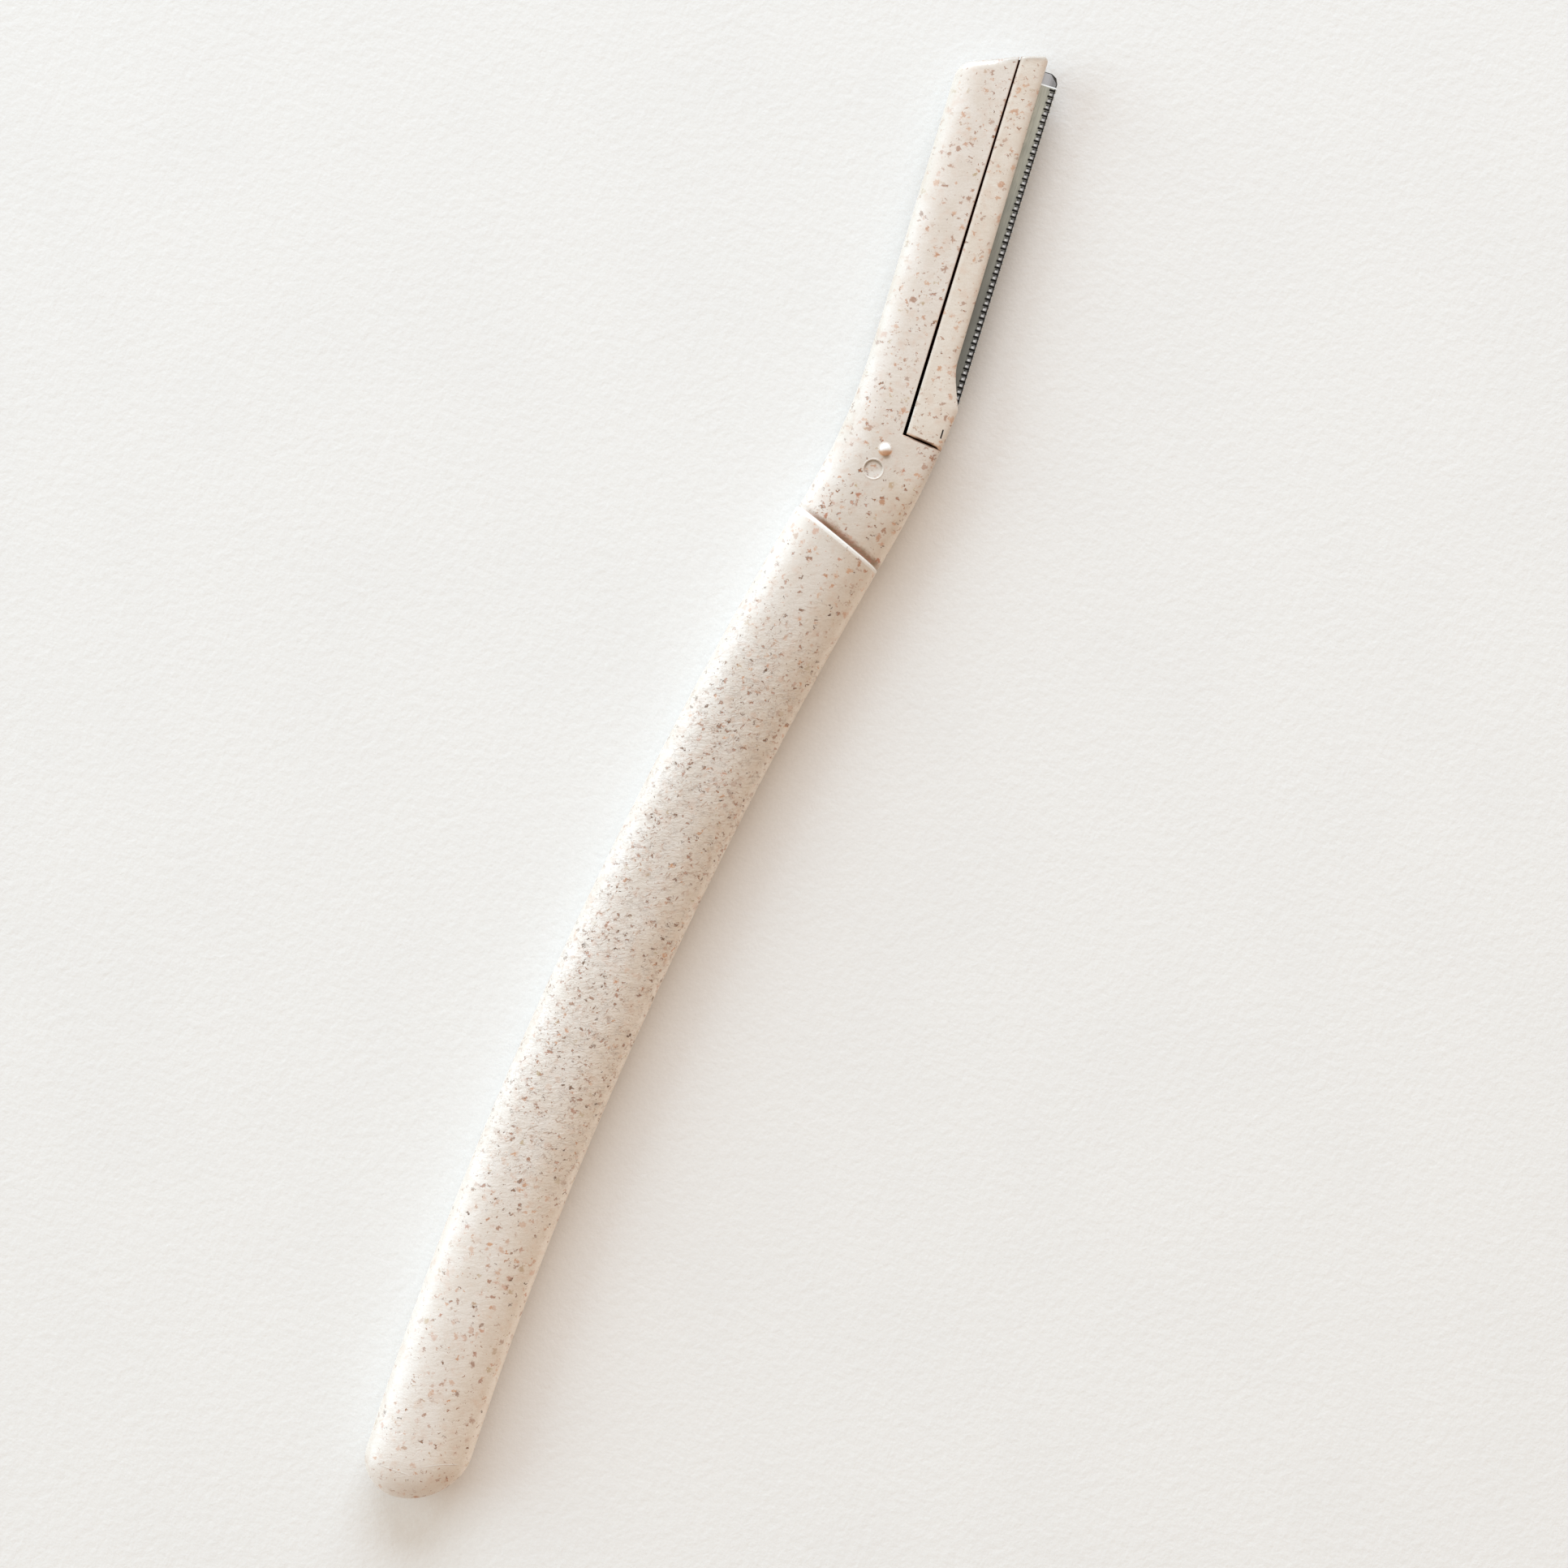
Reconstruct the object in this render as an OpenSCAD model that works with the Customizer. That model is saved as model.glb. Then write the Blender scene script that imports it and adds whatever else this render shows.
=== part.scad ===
// Eyebrow razor: a bowed, moulded handle whose head clamps a steel blade with a micro comb guard.
// +Z is the side that shows the blade cover, +Y runs from the butt to the tip, +X is the blade side.

/* [Handle] */
// Length from the butt to the cap seat
handle_len = 100.2; // [85:0.1:125]
// Width across the handle
handle_w = 9.84; // [9:0.01:11]
// Thickness of the handle before its underside is flattened
handle_t = 5; // [4.6:0.1:6]
// Depth of the flat along the underside
under_flat = 0.15; // [0.1:0.01:0.25]
// Distance from the butt to the middle of the bow
bow_at = 37.6; // [30:0.1:45]
// Radius of the bow on the butt side of its middle
butt_bend_r = 380; // [300:5:600]
// Radius of the bow on the neck side of its middle
neck_bend_r = 477; // [400:1:600]
// Depth of the rounded butt
butt_round = 4.6; // [3.5:0.1:6]
// How much lower the butt ends on the left than on the right
butt_rise = 2.95; // [1:0.05:3.5]

/* [Cap seat and neck] */
// How far the cap seat lies below the handle's upper and lower faces
seat_step = 0.35; // [0.2:0.01:0.5]
// How far the cap seat stands in from the handle's left side
seat_side = 0.17; // [0.1:0.01:0.4]
// How much higher the seat lies on the left than on the right
seat_rise = 2.7; // [1:0.1:3.2]
// Rounding of the handle's rim at the seat
rim_round = 0.08; // [0.04:0.01:0.15]
// Width of the groove beside the seat
groove_w = 0.4; // [0.2:0.05:0.8]
// Depth of the groove beside the seat
groove_d = 0.12; // [0.05:0.01:0.2]
// Length from the seat to the foot of the blade cover
neck_len = 11.3; // [9.5:0.1:14]
// Sideways step from the handle's middle line to the slit
neck_shift = 1.88; // [1.6:0.01:2.1]
// Diameter of the bump that holds the cap
bump_d = 1.15; // [0.8:0.05:1.6]
// How far the bump stands up
bump_h = 0.45; // [0.3:0.01:0.5]
// Distance from the bump down to the round recess
recess_drop = 2.2; // [1.8:0.05:2.6]
// Diameter of the round recess
recess_d = 1.7; // [1.2:0.05:2]
// Depth of the round recess
recess_depth = 0.1; // [0.05:0.01:0.2]

/* [Head] */
// Length from the foot of the blade cover to the tip
head_len = 38.5; // [34:0.1:44]
// Thickness of the head
head_t = 3.2; // [2.8:0.1:3.8]
// Width of the spine to the left of the slit, where it starts
spine_w = 5.27; // [4.8:0.01:6]
// Width of the spine to the left of the slit at the tip
spine_tip_w = 5.4; // [5:0.1:6]
// Angle between the blade and the long axis
blade_tilt = 5.8; // [4:0.1:8]
// How much lower the tip's edge ends on the left than on the right
tip_fall = 2.8; // [2:0.1:3.4]
// Corner radius of the tip on the spine side
tip_r = 2.3; // [1.5:0.1:2.8]
// Corner radius of the tip on the blade side
tip_small_r = 0.5; // [0.3:0.05:0.8]

/* [Blade cover] */
// Width from the slit to the cover's edge at its root
cover_root_w = 2.95; // [2.7:0.01:3.2]
// Width from the slit to the cover's edge at the tip
cover_tip_w = 2.72; // [2.5:0.01:2.9]
// Width from the slit to the outer corner of the flare
flare_w = 4.36; // [4.33:0.01:4.6]
// Height of the flare's outer corner above the cover's foot
flare_low = 3.6; // [3.4:0.05:3.7]
// Height at which the flare has run out
flare_high = 8.4; // [8:0.1:9]
// Width of the slit at the cover's foot
slit_foot = 0.32; // [0.2:0.01:0.35]
// Width of the slit at the tip
slit_tip = 0.15; // [0.1:0.01:0.2]
// Width of the cut below the cover
foot_gap = 0.2; // [0.1:0.01:0.3]
// Length of the short mark on the cover's foot
mark_len = 0.85; // [0.5:0.05:1.2]
// Width of the short mark
mark_w = 0.1; // [0.08:0.01:0.15]
// Depth of the short mark
mark_depth = 0.1; // [0.05:0.01:0.15]
// Diameter of the locating pegs
peg_d = 1.2; // [0.8:0.05:1.3]
// Distance from the slit to the middle of the pegs
peg_in = 1.1; // [1.05:0.05:1.15]
// Height of the lower peg above the cover's foot
peg_low = 9; // [6:0.5:12]
// Distance between the pegs
peg_apart = 19; // [14:0.5:22]
// Depth of the peg sockets in the ledge
socket_depth = 0.9; // [0.6:0.05:1]

/* [Blade and guard] */
// Thickness of the blade
blade_t = 0.25; // [0.2:0.01:0.3]
// Distance from the slit to the blade's cutting edge
edge_at = 4.22; // [4.15:0.01:4.25]
// Distance from the slit to the back of the blade
blade_back = 0.32; // [0.3:0.01:0.4]
// Height of the blade's lower end above the cover's foot
blade_foot = 1.4; // [1.2:0.1:2]
// Distance from the head's tip down to the blade's end
blade_drop = 1.3; // [1.1:0.1:2]
// Size of the blade's cut outer corners
blade_corner = 0.8; // [0.5:0.05:1]
// Width of the ground bevel
bevel_w = 0.5; // [0.4:0.05:0.6]
// Width of the flat left at the cutting edge
edge_land = 0.02; // [0.01:0.01:0.03]
// Thickness of the guard's sheet
sheet_t = 0.08; // [0.05:0.01:0.1]
// Distance from the slit to the guard's hidden edges
guard_back = 1.95; // [1.9:0.01:2.1]
// Distance that the guard stands out past the cutting edge
guard_out = 0.11; // [0.1:0.01:0.13]
// Height of the guard's lower end above the cover's foot
guard_foot = 3.8; // [3.75:0.05:4.5]
// Distance from the blade's end down to the guard's end
guard_drop = 1.2; // [1:0.1:1.6]
// Plain length left at each end of the guard
guard_land = 0.4; // [0.3:0.05:0.6]
// Distance from one comb slot to the next
slot_pitch = 0.63; // [0.5:0.01:0.9]
// Width of a comb slot
slot_w = 0.36; // [0.25:0.01:0.4]
// Length of a comb slot, in from the fold
slot_len = 0.55; // [0.4:0.01:0.7]

/* [Fits] */
// Clearance between the stacked pieces
lay_gap = 0.02; // [0.01:0.01:0.03]
// Clearance round a peg in its socket
peg_gap = 0.03; // [0.02:0.01:0.05]
// Clearance round a peg in the blade's hole
hole_gap = 0.05; // [0.03:0.01:0.08]

/* [Hidden] */
$fn = 48;
straw = "#ddd6cf";
straw_light = "#e3dcd5";
steel = "#9a9a9c";
guard_grey = "#8d9488";
// Overrun of every cut past the surface that it leaves through
over = 1;
// Corners of one cross-section ring
ring_n = 24;
// Steps along the butt, the handle, the neck, the flare, the head and the tip
butt_n = 8;
handle_n = 22;
neck_n = 9;
flare_n = 6;
head_n = 4;
tip_n = 9;
// How square the cross-section is on the handle, on the head's spine and along the cover's edge
handle_power = 2.3;
spine_power = 2.8;
cover_power = 9;
// How far a bend's handles reach towards the corner of its tangents
reach_share = 0.8;
// How far the bump is to the left of the slit and below the cover's foot, in its diameters
bump_place_shares = [0.85, 1.5];
// How far the recess is to the left of the bump, in its diameter
recess_place_share = 0.17;
// How much of the blade's cut corner is taken off a second time
corner_share = 1 / 3;
// Where the flare's curve leaves its outer corner and reaches its root, along its height
flare_lead_shares = [0.15, 0.6];

half_w = handle_w / 2;
mid_z = handle_t / 2 - under_flat;
butt_y = -handle_len;
bow_y = butt_y + bow_at;
tip_slope = tip_fall / (spine_tip_w + cover_tip_w);
stack_half = blade_t / 2 + lay_gap + sheet_t + lay_gap;
guard_edge = edge_at + guard_out;
blade_top = head_len - blade_drop;
guard_top = blade_top - guard_drop;
inner_half = blade_t / 2 + lay_gap;
outer_half = inner_half + sheet_t;

// The handle's middle line, as a parabola on each side of the bow's middle
function mid_x(y) = (y - bow_y) * (y - bow_y) / (2 * (y < bow_y ? butt_bend_r : neck_bend_r));
function mid_slope(y) = (y - bow_y) / (y < bow_y ? butt_bend_r : neck_bend_r);
function mix(a, b, t) = a + (b - a) * t;
function smooth(t) = t * t * (3 - 2 * t);
function bezier(a, b, c, d, t) = let (s = 1 - t)
    s * s * s * a + 3 * s * s * t * b + 3 * s * t * t * c + t * t * t * d;
// A curve that leaves p along u and reaches q along v, near the corner of the two tangents
function bend(p, u, q, v, t) = let (
        w = q - p,
        det = u.x * v.y - u.y * v.x,
        a = (w.x * v.y - w.y * v.x) / det,
        corner = p + a * u
    ) bezier(p, mix(p, corner, reach_share), mix(q, corner, reach_share), q, t);

// Places in the head's own frame: across from the slit, up along it from the cover's foot
head_at = [mid_x(0) + neck_shift, neck_len];
across = [cos(blade_tilt), sin(blade_tilt)];
along = [-sin(blade_tilt), cos(blade_tilt)];
function head_point(p) = head_at + p.x * across + p.y * along;

// A station: left, right and middle point, half thickness, squareness of the left and right halves
seat_left = [mid_x(seat_rise / 2) - half_w, seat_rise / 2];
seat_right = [mid_x(-seat_rise / 2) + half_w, -seat_rise / 2];
seat_mid = [mid_x(0), 0];
neck_half = handle_t / 2 - seat_step;
head_half = head_t / 2;

butt_mid = [mid_x(butt_y + butt_round), butt_y + butt_round];
function butt_point(a, side) = let (
        y = butt_y + butt_round * (1 - cos(a)) + side * butt_rise / 2 * sin(a)
    ) [mid_x(y) + side * half_w * sin(a), y];
butt_stations = [for (i = [0 : butt_n - 1]) let (a = 90 * i / butt_n)
    [butt_point(a, -1), butt_point(a, 1), butt_mid, handle_t / 2, handle_power, handle_power]];

function handle_station(t) = let (
        y = mix(butt_y + butt_round, 0, t),
        rise = mix(-butt_rise, seat_rise, t) / 2
    ) [[mid_x(y + rise) - half_w, y + rise], [mid_x(y - rise) + half_w, y - rise],
       [mid_x(y), y], handle_t / 2, handle_power, handle_power];
rim_t = 1 - rim_round / (handle_len - butt_round);
handle_stations = [for (i = [0 : handle_n]) handle_station(rim_t * i / handle_n)];

// The rim, the step down to the seat and the groove beside it
function seat_station(up, inset, half) = [
    seat_left + [inset + up * mid_slope(0), up], seat_right + [up * mid_slope(0), up],
    seat_mid + [up * mid_slope(0), up], half, handle_power, handle_power];
seat_stations = [
    seat_station(0, rim_round, handle_t / 2 - rim_round),
    seat_station(rim_round / 2, seat_side, neck_half - groove_d),
    seat_station(groove_w, seat_side, neck_half - groove_d),
    seat_station(groove_w + groove_d, seat_side, neck_half)];

neck_left = seat_left + [seat_side, 0] + (groove_w + groove_d) * [mid_slope(0), 1];
neck_right = seat_right + (groove_w + groove_d) * [mid_slope(0), 1];
spine_start = [-spine_w, flare_high];
flare_corner = [flare_w, flare_low];
function neck_station(t) = let (
        left = bend(neck_left, [mid_slope(0), 1], head_point(spine_start), along, t),
        right = bend(neck_right, [mid_slope(0), 1], head_point(flare_corner), [0, 1], t)
    ) [left, right, (left + right) / 2, mix(neck_half, head_half, smooth(t)),
       mix(handle_power, spine_power, t), mix(handle_power, cover_power, smooth(t))];
neck_stations = [for (i = [1 : neck_n]) neck_station(i / neck_n)];

// The flare on the blade side, beside the start of the straight spine
flare_tall = flare_high - flare_low;
flare_top = [cover_root_w, flare_high];
function flare_point(t) = bezier(flare_corner, flare_corner + [0, flare_tall * flare_lead_shares[0]],
    [cover_root_w, flare_low + flare_tall * flare_lead_shares[1]], flare_top, t);
function head_station(left, right) = [head_point(left), head_point(right),
    head_point((left + right) / 2), head_half, spine_power, cover_power];
flare_stations = [for (i = [1 : flare_n]) let (t = i / flare_n)
    head_station(spine_start + [0, flare_tall * t / 2], flare_point(t))];

// The corners of the tip, with the tangent lengths of their rounds
tip_angle = atan(tip_slope);
left_corner = [-spine_tip_w, head_len - tip_fall];
right_corner = [cover_tip_w, head_len];
left_run = tip_r * tan((90 - tip_angle) / 2);
right_run = tip_small_r * tan((90 + tip_angle) / 2);
tip_line = [cos(tip_angle), sin(tip_angle)];
left_end = left_corner - [0, left_run];
right_end = right_corner - [0, right_run];
left_start = spine_start + [0, flare_tall / 2];
head_stations = [for (i = [1 : head_n]) let (t = i / head_n)
    head_station(mix(left_start, left_end, t), mix(flare_top, right_end, t))];

left_arc_mid = left_end + [tip_r, 0];
right_arc_mid = right_end - [tip_small_r, 0];
left_arc_n = 6;
right_arc_n = 5;
tip_mid = (left_corner + right_corner) / 2;
function left_tip(i) = i <= left_arc_n
    ? left_arc_mid + tip_r * [cos(180 - (90 - tip_angle) * i / left_arc_n),
                              sin(180 - (90 - tip_angle) * i / left_arc_n)]
    : mix(left_corner + left_run * tip_line, tip_mid, (i - left_arc_n) / (tip_n - left_arc_n));
function right_tip(i) = i <= right_arc_n
    ? right_arc_mid + tip_small_r * [cos((90 + tip_angle) * i / right_arc_n),
                                     sin((90 + tip_angle) * i / right_arc_n)]
    : mix(right_corner - right_run * tip_line, tip_mid, (i - right_arc_n) / (tip_n - right_arc_n));
tip_hub = head_point((left_end + right_end) / 2);
tip_stations = [for (i = [1 : tip_n])
    [head_point(left_tip(i)), head_point(right_tip(i)), tip_hub, head_half, spine_power, cover_power]];

stations = concat(butt_stations, handle_stations, seat_stations, neck_stations,
    flare_stations, head_stations, tip_stations);
last = len(stations) - 1;

// The origin is under the middle of the part's outline
left_x = min([for (s = stations) s[0].x]);
right_x = max([for (s = stations) s[1].x]);
low_y = min([for (s = stations) min(s[0].y, s[1].y)]);
high_y = max([for (s = stations) max(s[0].y, s[1].y)]);
home = [-(left_x + right_x) / 2, -(low_y + high_y) / 2];

// One corner of a station's ring, counted from under its middle towards the right
function signed_power(v, e) = sign(v) * pow(abs(v), e);
function ring_point(s, j) = let (
        a = 360 * j / ring_n,
        power = sin(a) < 0 ? s[4] : s[5],
        q = signed_power(sin(a), 2 / power),
        r = -signed_power(cos(a), 2 / power),
        p = q > 0 ? mix(s[2], s[1], q) : mix(s[2], s[0], -q)
    ) [p.x + home.x, p.y + home.y, mid_z + s[3] * r];
function at(i, j) = let (k = j % ring_n)
    i * ring_n + (i == 0 || i == last ? min(k, ring_n - k) % ring_n : k);
function distinct(f) = f[0] != f[1] && f[1] != f[2] && f[2] != f[0];

// The outer shape of the body and the cover together, lofted through the stations
module shell() {
    faces = [for (i = [0 : last - 1], j = [0 : ring_n - 1], k = [0, 1])
        k == 0 ? [at(i, j), at(i + 1, j + 1), at(i + 1, j)]
               : [at(i, j), at(i, j + 1), at(i + 1, j + 1)]];
    polyhedron([for (s = stations, j = [0 : ring_n - 1]) ring_point(s, j)],
        [for (f = faces) if (distinct(f)) f]);
}

module in_head(z) {
    translate([home.x + head_at.x, home.y + head_at.y, z]) rotate([0, 0, blade_tilt]) children();
}

// The pocket's plan: its foot runs square to the long axis, its left wall along the slit
pocket_w = flare_w + over;
foot_slope = tan(blade_tilt);
module pocket_plan() {
    polygon([[0, 0], [pocket_w, -pocket_w * foot_slope], [pocket_w, head_len + over],
        [0, head_len + over]]);
}

module cover_plan() {
    polygon([[slit_foot, foot_gap - slit_foot * foot_slope],
        [pocket_w, foot_gap - pocket_w * foot_slope],
        [pocket_w, head_len + over], [slit_tip, head_len + over]]);
}

module at_pegs() {
    for (i = [0, 1]) translate([peg_in, peg_low + i * peg_apart, 0]) children();
}

bump_at = [mid_x(0) + neck_shift - bump_d * bump_place_shares[0],
    neck_len - foot_gap - bump_d * bump_place_shares[1]];
bump_r = (bump_d * bump_d / 4 + bump_h * bump_h) / (2 * bump_h);
function half_near(y) = mix(neck_half, head_half, smooth(y / neck_tall));
neck_tall = head_point((spine_start + flare_corner) / 2).y;

module handle_body() {
    color(straw) difference() {
        union() {
            shell();
            translate([home.x + bump_at.x, home.y + bump_at.y,
                mid_z + half_near(bump_at.y) + bump_h - bump_r]) sphere(r = bump_r);
        }
        translate([home.x + left_x - over, home.y + low_y - over, -handle_t])
            cube([right_x - left_x + 2 * over, high_y - low_y + 2 * over, handle_t]);
        in_head(mid_z - stack_half) {
            linear_extrude(head_t) pocket_plan();
            at_pegs() translate([0, 0, -socket_depth])
                cylinder(d = peg_d + 2 * peg_gap, h = socket_depth + over);
        }
        translate([home.x + bump_at.x - recess_d * recess_place_share, home.y + bump_at.y - recess_drop,
            mid_z + half_near(bump_at.y - recess_drop) - recess_depth]) cylinder(d = recess_d, h = over);
    }
}

module blade_cover() {
    color(straw_light) {
        difference() {
            intersection() {
                shell();
                in_head(mid_z - stack_half + lay_gap) linear_extrude(head_t) cover_plan();
            }
            in_head(mid_z - head_t) translate([0, blade_foot - lay_gap, 0])
                cube([pocket_w, blade_top - blade_foot + 2 * lay_gap, head_t + stack_half]);
            in_head(mid_z + head_half - mark_depth)
                translate([flare_low - slit_foot, blade_foot - mark_len / 2 - slit_foot, 0])
                cube([mark_w, mark_len, over]);
        }
        in_head(mid_z - stack_half - socket_depth + lay_gap) at_pegs()
            cylinder(d = peg_d, h = socket_depth + 2 * stack_half);
    }
}

module blade_plan() {
    polygon([[blade_back, blade_foot], [edge_at - flare_low + blade_foot, blade_foot],
        [edge_at, flare_low + edge_at - guard_edge], [edge_at, blade_top - blade_corner],
        [edge_at - blade_corner * corner_share, blade_top - blade_corner * corner_share],
        [edge_at - blade_corner, blade_top], [blade_back, blade_top]]);
}

// The wedge that the grinding takes off the upper face along the cutting edge
module bevel_cut() {
    rotate([90, 0, 0]) mirror([0, 0, 1]) linear_extrude(head_len)
        polygon([[edge_at - bevel_w, blade_t / 2], [edge_at, edge_land / 2],
            [edge_at + over, edge_land / 2], [edge_at + over, blade_t], [edge_at - bevel_w, blade_t]]);
}

module blade() {
    color(steel) in_head(mid_z) difference() {
        translate([0, 0, -blade_t / 2]) linear_extrude(blade_t) blade_plan();
        bevel_cut();
        mirror([0, 0, 1]) bevel_cut();
        at_pegs() cylinder(d = peg_d + 2 * hole_gap, h = over, center = true);
    }
}

// Half a folded sheet: the room inside a fold of the given half height
module fold_plan(half) {
    translate([guard_edge - outer_half, 0]) circle(r = half);
    translate([guard_back, -half]) square([guard_edge - outer_half - guard_back, 2 * half]);
}

guard_len = guard_top - guard_foot;
slot_n = floor((guard_len - 2 * guard_land + slot_pitch - slot_w) / slot_pitch);
slot_first = guard_foot + (guard_len - (slot_n - 1) * slot_pitch - slot_w) / 2;

module comb_guard() {
    color(guard_grey) in_head(mid_z) difference() {
        translate([0, guard_foot, 0]) rotate([90, 0, 0]) mirror([0, 0, 1]) linear_extrude(guard_len)
            difference() {
                fold_plan(outer_half);
                fold_plan(inner_half);
                translate([guard_back - over, -inner_half]) square([2 * over, 2 * inner_half]);
            }
        for (i = [0 : slot_n - 1])
            translate([guard_edge - slot_len, slot_first + i * slot_pitch, -over])
                cube([slot_len + over, slot_w, 2 * over]);
    }
}

handle_body();
blade_cover();
blade();
comb_guard();
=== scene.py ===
import math

import bmesh
import bpy
import numpy as np
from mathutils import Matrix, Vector

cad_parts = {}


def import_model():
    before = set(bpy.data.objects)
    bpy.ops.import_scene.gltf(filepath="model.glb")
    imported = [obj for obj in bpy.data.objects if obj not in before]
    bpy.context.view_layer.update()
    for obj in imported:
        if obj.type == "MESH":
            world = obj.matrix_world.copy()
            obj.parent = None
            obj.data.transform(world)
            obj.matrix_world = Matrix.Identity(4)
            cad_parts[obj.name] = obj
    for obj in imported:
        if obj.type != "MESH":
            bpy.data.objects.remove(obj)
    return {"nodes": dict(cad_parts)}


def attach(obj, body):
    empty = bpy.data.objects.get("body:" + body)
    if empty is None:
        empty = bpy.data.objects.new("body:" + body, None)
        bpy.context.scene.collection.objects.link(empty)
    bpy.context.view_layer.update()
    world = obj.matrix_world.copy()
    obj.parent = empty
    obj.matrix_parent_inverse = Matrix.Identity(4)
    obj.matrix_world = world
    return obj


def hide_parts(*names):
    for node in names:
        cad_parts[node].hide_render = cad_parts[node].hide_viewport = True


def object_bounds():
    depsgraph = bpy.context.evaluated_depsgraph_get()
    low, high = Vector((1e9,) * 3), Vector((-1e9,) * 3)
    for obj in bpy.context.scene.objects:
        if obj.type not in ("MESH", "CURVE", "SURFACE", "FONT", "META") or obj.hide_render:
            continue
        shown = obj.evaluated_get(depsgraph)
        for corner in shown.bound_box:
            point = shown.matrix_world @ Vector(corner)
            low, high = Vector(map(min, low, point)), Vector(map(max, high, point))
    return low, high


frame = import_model()
cad_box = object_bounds()

# ---------------------------------------------------------------- sizes, in mm
# The same names and values as in the part's source.
handle_len, handle_w, handle_t, under_flat = 100.2, 9.84, 5.0, 0.15
bow_at, butt_bend_r, neck_bend_r = 37.6, 380.0, 477.0
butt_round, butt_rise = 4.6, 2.95
seat_step, seat_side, seat_rise = 0.35, 0.17, 2.7
groove_w, groove_d = 0.4, 0.12
neck_len, neck_shift = 11.3, 1.88
bump_d, bump_h, recess_drop, recess_d, recess_depth = 1.15, 0.45, 2.2, 1.7, 0.1
head_len, head_t, spine_w, spine_tip_w, blade_tilt = 38.5, 3.2, 5.27, 5.4, 5.8
tip_fall, tip_r, tip_small_r = 2.8, 2.3, 0.5
cover_root_w, cover_tip_w, flare_w, flare_low, flare_high = 2.95, 2.72, 4.36, 3.6, 8.4
slit_foot, slit_tip, foot_gap = 0.32, 0.15, 0.2
blade_t, sheet_t, lay_gap = 0.25, 0.08, 0.02
blade_foot, blade_drop, edge_at = 1.4, 1.3, 4.22
guard_foot, guard_drop, guard_land, slot_pitch, slot_w = 3.8, 1.2, 0.4, 0.63, 0.36
handle_power, spine_power, cover_power = 2.3, 2.8, 9.0
reach_share, flare_lead_shares = 0.8, (0.15, 0.6)

# Worked out from them
half_w = handle_w / 2
mid_z = handle_t / 2 - under_flat
butt_y = -handle_len
bow_y = butt_y + bow_at
stack_half = blade_t / 2 + 2 * lay_gap + sheet_t
floor_z = mid_z - stack_half
neck_half, head_half = handle_t / 2 - seat_step, head_t / 2
blade_top = head_len - blade_drop
comb_end = blade_top - guard_drop - guard_land
comb_n = math.floor((comb_end - guard_foot - guard_land + slot_pitch - slot_w) / slot_pitch)
comb_start = (guard_foot + comb_end + guard_land - (comb_n - 1) * slot_pitch - slot_w) / 2
tip_slope = tip_fall / (spine_tip_w + cover_tip_w)
tip_angle = math.atan(tip_slope)

# Only in the scene
tip_reach = 1.17  # how far below the tip's edge the faces begin to round off
seat_round = 0.26  # the rounding of the handle's end at the cap seat
slit_edge = 0.035  # the broken edge of the body's wall along the slit
lip_r = 0.13  # the rounding of the cover's edge along the slit
foot_lip = 0.07  # and along the cut at its foot
mark_x, mark_y = 3.54, 1.15  # the short mark on the cover, in the head's own frame


def vec(*v):
    return np.array(v, float)


def lerp(a, b, t):
    return a + (b - a) * t


def smooth(t):
    t = np.clip(t, 0, 1)
    return t * t * (3 - 2 * t)


def on_circle(a):
    """Points of the unit circle; the last axis of the angles has length one."""
    return np.concatenate([np.cos(a), np.sin(a)], -1)


def mid_x(y):
    """The handle's middle line."""
    return (y - bow_y) ** 2 / (2 * np.where(y < bow_y, butt_bend_r, neck_bend_r))


def mid_slope(y):
    return (y - bow_y) / (butt_bend_r if y < bow_y else neck_bend_r)


def bezier(a, b, c, d, t):
    s = 1 - t
    return s**3 * a + 3 * s * s * t * b + 3 * s * t * t * c + t**3 * d


def bend(p, u, q, v, t):
    """A curve that leaves p along u and comes to q along v, both drawn to where those lines cross."""
    w = q - p
    corner = p + (w[0] * v[1] - w[1] * v[0]) / (u[0] * v[1] - u[1] * v[0]) * u
    return bezier(p, lerp(p, corner, reach_share), lerp(q, corner, reach_share), q, t)


# ---------------------------------------------------------------- the head's own frame
tilt = math.radians(blade_tilt)
across, along = vec(math.cos(tilt), math.sin(tilt)), vec(-math.sin(tilt), math.cos(tilt))
head_at = vec(float(mid_x(0.0)) + neck_shift, neck_len)


def from_head(p):
    return head_at + p[..., :1] * across + p[..., 1:] * along


def to_head(p):
    return (p - head_at) @ across, (p - head_at) @ along


seat_dir = vec(mid_slope(0.0), 1.0)
seat_left = vec(mid_x(seat_rise / 2) - half_w, seat_rise / 2)
seat_right = vec(mid_x(-seat_rise / 2) + half_w, -seat_rise / 2)
seat_mid = vec(mid_x(0.0), 0.0)
groove_end = groove_w + groove_d
neck_left = seat_left + vec(seat_side, 0) + groove_end * seat_dir
neck_right = seat_right + groove_end * seat_dir
spine_start, flare_corner = vec(-spine_w, flare_high), vec(flare_w, flare_low)
flare_top = vec(cover_root_w, flare_high)
flare_tall = flare_high - flare_low
left_corner, right_corner = vec(-spine_tip_w, head_len - tip_fall), vec(cover_tip_w, head_len)
left_end = left_corner - vec(0, tip_r * math.tan((math.pi / 2 - tip_angle) / 2))
right_end = right_corner - vec(0, tip_small_r * math.tan((math.pi / 2 + tip_angle) / 2))
left_start = spine_start + vec(0, flare_tall / 2)


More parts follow.
